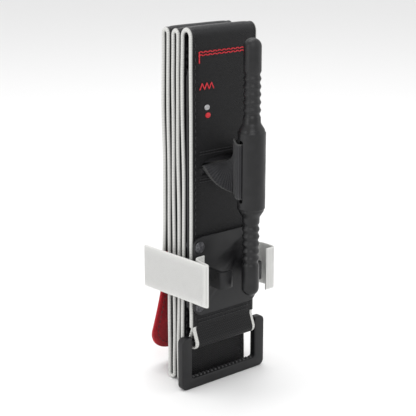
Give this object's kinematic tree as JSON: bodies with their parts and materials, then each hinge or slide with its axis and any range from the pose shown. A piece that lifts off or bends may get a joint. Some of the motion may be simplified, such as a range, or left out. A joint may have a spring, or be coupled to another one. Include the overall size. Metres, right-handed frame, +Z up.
{
  "type": "windlass tourniquet",
  "caption": "Strap tourniquet folded for stowage: woven sleeve with a sliding inner band, windlass rod, clip, time strap, buckle and red pull tip.",
  "frame": {"origin": "under the middle of the box, on the surface that the folded strap stands on", "axes": "+Z up along the strap's length, X across the strap's width, the windlass on the -Y side and the strap's free end on the +Y side"},
  "size_m": [0.05, 0.0574, 0.165],
  "materials": {
    "webbing": "matte",
    "inner_webbing": "satin",
    "black_plastic": "satin",
    "rivet_metal": "satin",
    "white_webbing": "matte",
    "label_print": "satin",
    "red_webbing": "matte"
  },
  "bodies": {
    "base": {"sleeve_panel_1": "webbing", "inner_band_1_lower": "inner_webbing", "inner_band_1_upper": "inner_webbing", "stabilising_plate": "black_plastic", "windlass_clip": "black_plastic", "rivet_1": "rivet_metal", "rivet_2": "rivet_metal", "rivet_3": "rivet_metal", "rivet_4": "rivet_metal", "time_strap_root": "white_webbing", "time_strap_catch": "white_webbing", "buckle_loop": "webbing", "sleeve_fold_1": "webbing", "inner_fold_1": "inner_webbing"},
    "panel_2": {"sleeve_panel_2": "webbing", "inner_band_2": "inner_webbing", "sleeve_fold_2": "webbing", "inner_fold_2": "inner_webbing"},
    "panel_3": {"sleeve_panel_3": "webbing", "inner_band_3": "inner_webbing", "sleeve_fold_3": "webbing", "inner_fold_3": "inner_webbing"},
    "panel_4": {"sleeve_panel_4": "webbing", "inner_band_4": "inner_webbing", "sleeve_fold_4": "webbing", "inner_fold_4": "inner_webbing"},
    "panel_5": {"sleeve_panel_5": "webbing", "inner_band_5": "inner_webbing", "sleeve_fold_5": "webbing", "inner_fold_5": "inner_webbing"},
    "panel_6": {"sleeve_panel_6": "webbing", "inner_band_6": "inner_webbing"},
    "windlass_swivel": {"inner_band_riser": "inner_webbing"},
    "windlass": {"windlass_rod": "black_plastic", "inner_band_bight": "inner_webbing"},
    "time_flap": {"time_strap": "white_webbing", "write_on_label": "label_print"},
    "buckle_frame": {"buckle": "black_plastic"},
    "tip": {"red_tip": "red_webbing"}
  },
  "joints": [
    {"name": "strap_unfold_1", "type": "hinge", "parent": "base", "child": "panel_2", "pos_m": [0, -0.0005, 0.1611], "axis": [1, 0, 0], "range_deg": [0, 176], "deforming": ["sleeve_fold_1", "inner_fold_1"]},
    {"name": "strap_unfold_2", "type": "hinge", "parent": "panel_2", "child": "panel_3", "pos_m": [0, 0.0039, 0.0029], "axis": [-1, 0, 0], "range_deg": [0, 176], "deforming": ["sleeve_fold_2", "inner_fold_2"]},
    {"name": "strap_unfold_3", "type": "hinge", "parent": "panel_3", "child": "panel_4", "pos_m": [0, 0.0073, 0.1611], "axis": [1, 0, 0], "range_deg": [0, 176], "deforming": ["sleeve_fold_3", "inner_fold_3"]},
    {"name": "strap_unfold_4", "type": "hinge", "parent": "panel_4", "child": "panel_5", "pos_m": [0, 0.0107, 0.0029], "axis": [-1, 0, 0], "range_deg": [0, 176], "deforming": ["sleeve_fold_4", "inner_fold_4"]},
    {"name": "strap_unfold_5", "type": "hinge", "parent": "panel_5", "child": "panel_6", "pos_m": [0, 0.0141, 0.1611], "axis": [1, 0, 0], "range_deg": [0, 176], "deforming": ["sleeve_fold_5", "inner_fold_5"]},
    {"name": "windlass_turn", "type": "hinge", "parent": "base", "child": "windlass_swivel", "pos_m": [0, -0.0225, 0.104], "axis": [0, -1, 0], "continuous": true, "deforming": ["inner_band_riser"]},
    {"name": "windlass_press", "type": "hinge", "parent": "windlass_swivel", "child": "windlass", "pos_m": [0, -0.0225, 0.104], "axis": [1, 0, 0], "range_deg": [0, 13]},
    {"name": "time_strap_close", "type": "hinge", "parent": "base", "child": "time_flap", "pos_m": [-0.022, -0.0178, 0.054], "axis": [0, 0, 1], "range_deg": [0, 266.1]},
    {"name": "buckle_swing", "type": "hinge", "parent": "base", "child": "buckle_frame", "pos_m": [0, -0.0032, 0.022], "axis": [-1, 0, 0], "range_deg": [0, 100]},
    {"name": "tip_peel", "type": "hinge", "parent": "panel_6", "child": "tip", "pos_m": [0, 0.0158, 0.05], "axis": [1, 0, 0], "range_deg": [-16, 94]}
  ],
  "couplings": [
    {"joint": "strap_unfold_2", "follows": "strap_unfold_1", "ratio": 1},
    {"joint": "strap_unfold_3", "follows": "strap_unfold_1", "ratio": 1},
    {"joint": "strap_unfold_4", "follows": "strap_unfold_1", "ratio": 1},
    {"joint": "strap_unfold_5", "follows": "strap_unfold_1", "ratio": 1},
    {"joint": "time_strap_close", "follows": "windlass_press", "ratio": 20.46}
  ]
}
